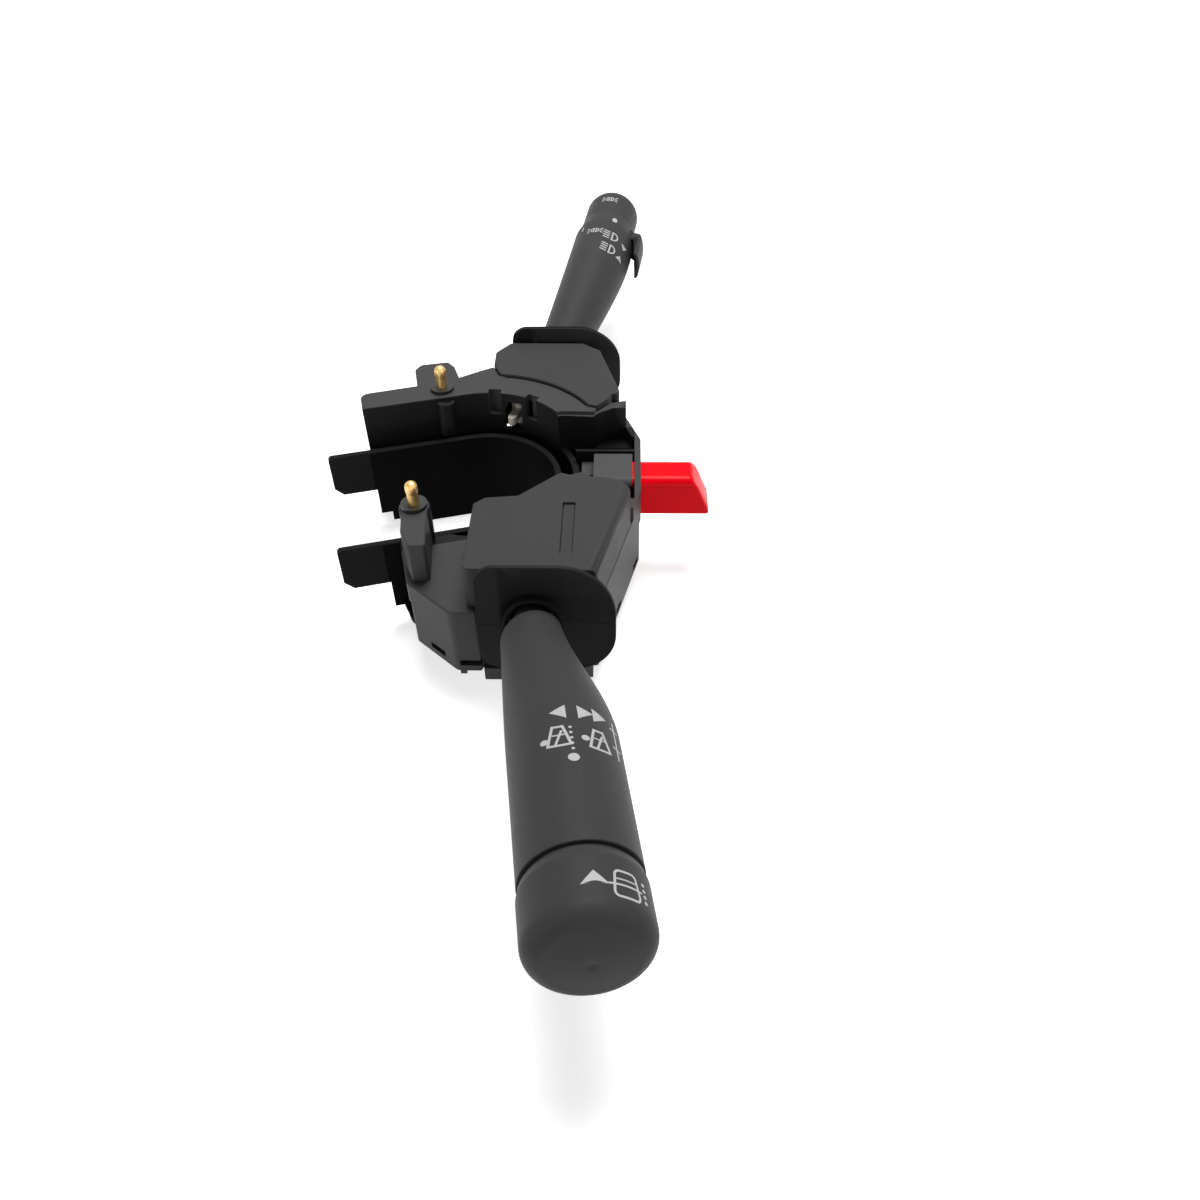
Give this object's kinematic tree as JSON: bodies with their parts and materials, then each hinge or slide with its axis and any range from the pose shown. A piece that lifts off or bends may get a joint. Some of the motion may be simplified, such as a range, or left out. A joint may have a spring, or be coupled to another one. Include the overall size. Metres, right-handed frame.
{
  "type": "combination stalk switch",
  "caption": "Steering column combination switch: wiper stalk with push-button end, indicator stalk with rotary light knob, red hazard lever and U-shaped column saddle.",
  "frame": {"origin": "on the steering column's axis, level with the underside of the column saddle", "axes": "+X towards the wiper stalk, +Y towards the hazard lever, +Z along the column towards the driver"},
  "size_m": [0.3785, 0.1359, 0.0638],
  "materials": {
    "housing_plastic": "fine-grained charcoal moulding",
    "saddle_plastic": "fine-grained black moulding",
    "cover_plastic": "fine-grained charcoal moulding",
    "shield_plastic": "satin black moulding",
    "stalk_plastic": "soft satin charcoal moulding",
    "natural_plastic": "natural bearing plastic",
    "hazard_grey": "grey moulding",
    "hazard_red": "glossy red",
    "bush_black": "black insulating plastic",
    "connector_black": "black connector plastic",
    "brass": "turned brass",
    "spring_steel": "spring wire",
    "steel": "plated steel",
    "board": "brown laminate",
    "tin": "tinned blades"
  },
  "bodies": {
    "housing": {"upper_housing": "housing_plastic", "lower_housing": "housing_plastic", "column_saddle": "saddle_plastic", "saddle_screws": "steel", "wiper_switch_cover": "cover_plastic", "indicator_switch_cover": "cover_plastic", "wiper_detent_gate": "natural_plastic", "indicator_detent_gate": "natural_plastic", "wiper_contact_board": "board", "indicator_contact_board": "board", "wiper_terminals": "tin", "indicator_terminals": "tin", "wiper_connector": "connector_black", "indicator_connector": "connector_black", "hazard_housing": "hazard_grey", "hazard_contact": "brass", "hazard_spring": "spring_steel", "contact_bushes": "bush_black", "wiper_pin_spring": "spring_steel", "indicator_pin_spring": "spring_steel", "cancel_pin": "steel"},
    "wiper_carrier": {"wiper_carrier": "natural_plastic", "wiper_shield_upper": "shield_plastic", "wiper_shield_lower": "shield_plastic", "wiper_hinge_pin": "steel", "wiper_slider": "brass", "wiper_detent_spring": "spring_steel"},
    "indicator_carrier": {"indicator_carrier": "natural_plastic", "indicator_shield_upper": "shield_plastic", "indicator_shield_lower": "shield_plastic", "indicator_hinge_pin": "steel", "indicator_slider": "brass", "indicator_detent_spring": "spring_steel"},
    "wiper_stalk": {"wiper_stalk": "stalk_plastic", "end_cap_spring": "spring_steel"},
    "indicator_stalk": {"indicator_stalk": "stalk_plastic"},
    "end_cap": {"end_cap": "stalk_plastic"},
    "light_knob": {"light_knob": "stalk_plastic"},
    "wiper_plunger": {"wiper_detent_plunger": "steel"},
    "indicator_plunger": {"indicator_detent_plunger": "steel"},
    "hazard_lever": {"hazard_lever": "hazard_red"},
    "wiper_contact_pin": {"wiper_contact_pin": "brass"},
    "indicator_contact_pin": {"indicator_contact_pin": "brass"},
    "cancel_finger": {"cancel_finger": "bush_black", "cancel_hub": "natural_plastic"}
  },
  "joints": [
    {"name": "wiper_swing", "type": "hinge", "parent": "housing", "child": "wiper_carrier", "pos_m": [0.044, 0.021, 0.03], "axis": [0, 0, 1], "range_deg": [-8, 8]},
    {"name": "indicator_swing", "type": "hinge", "parent": "housing", "child": "indicator_carrier", "pos_m": [-0.044, 0.021, 0.03], "axis": [0, 0, 1], "range_deg": [-8, 8]},
    {"name": "wiper_pull", "type": "hinge", "parent": "wiper_carrier", "child": "wiper_stalk", "pos_m": [0.06, 0.021, 0.03241], "axis": [0, -1, 0], "range_deg": [0, 5], "stiffness_Nm_per_rad": 0.6, "springref_deg": -17.19},
    {"name": "indicator_pull", "type": "hinge", "parent": "indicator_carrier", "child": "indicator_stalk", "pos_m": [-0.06, 0.021, 0.03241], "axis": [0, 1, 0], "range_deg": [0, 5], "stiffness_Nm_per_rad": 0.6, "springref_deg": -17.19},
    {"name": "end_cap_push", "type": "slide", "parent": "wiper_stalk", "child": "end_cap", "axis": [-0.9806, -0.1465, -0.1305], "range_m": [0, 0.0012], "stiffness_N_per_m": 900, "springref_m": -0.003, "deforming": ["end_cap_spring"]},
    {"name": "light_knob_turn", "type": "hinge", "parent": "indicator_stalk", "child": "light_knob", "pos_m": [-0.07152, 0.02616, 0.034], "axis": [-0.9806, 0.1465, 0.1305], "range_deg": [0, 60]},
    {"name": "wiper_detent", "type": "slide", "parent": "wiper_carrier", "child": "wiper_plunger", "axis": [1, 0, 0], "range_m": [0, 0.0012], "stiffness_N_per_m": 500, "springref_m": -0.003, "deforming": ["wiper_detent_spring"]},
    {"name": "indicator_detent", "type": "slide", "parent": "indicator_carrier", "child": "indicator_plunger", "axis": [-1, 0, 0], "range_m": [0, 0.0012], "stiffness_N_per_m": 500, "springref_m": -0.003, "deforming": ["indicator_detent_spring"]},
    {"name": "hazard_push", "type": "slide", "parent": "housing", "child": "hazard_lever", "axis": [0, -1, 0], "range_m": [0, 0.004], "stiffness_N_per_m": 500, "springref_m": -0.003, "deforming": ["hazard_spring"]},
    {"name": "wiper_contact_pin_press", "type": "slide", "parent": "housing", "child": "wiper_contact_pin", "axis": [0, 0, -1], "range_m": [0, 0.0035], "stiffness_N_per_m": 350, "springref_m": -0.003, "deforming": ["wiper_pin_spring"]},
    {"name": "indicator_contact_pin_press", "type": "slide", "parent": "housing", "child": "indicator_contact_pin", "axis": [0, 0, -1], "range_m": [0, 0.0035], "stiffness_N_per_m": 350, "springref_m": -0.003, "deforming": ["indicator_pin_spring"]},
    {"name": "cancel_swing", "type": "hinge", "parent": "housing", "child": "cancel_finger", "pos_m": [-0.0371, 0.01029, 0.039], "axis": [0, 0, 1], "range_deg": [-12, 12], "stiffness_Nm_per_rad": 0.01}
  ]
}
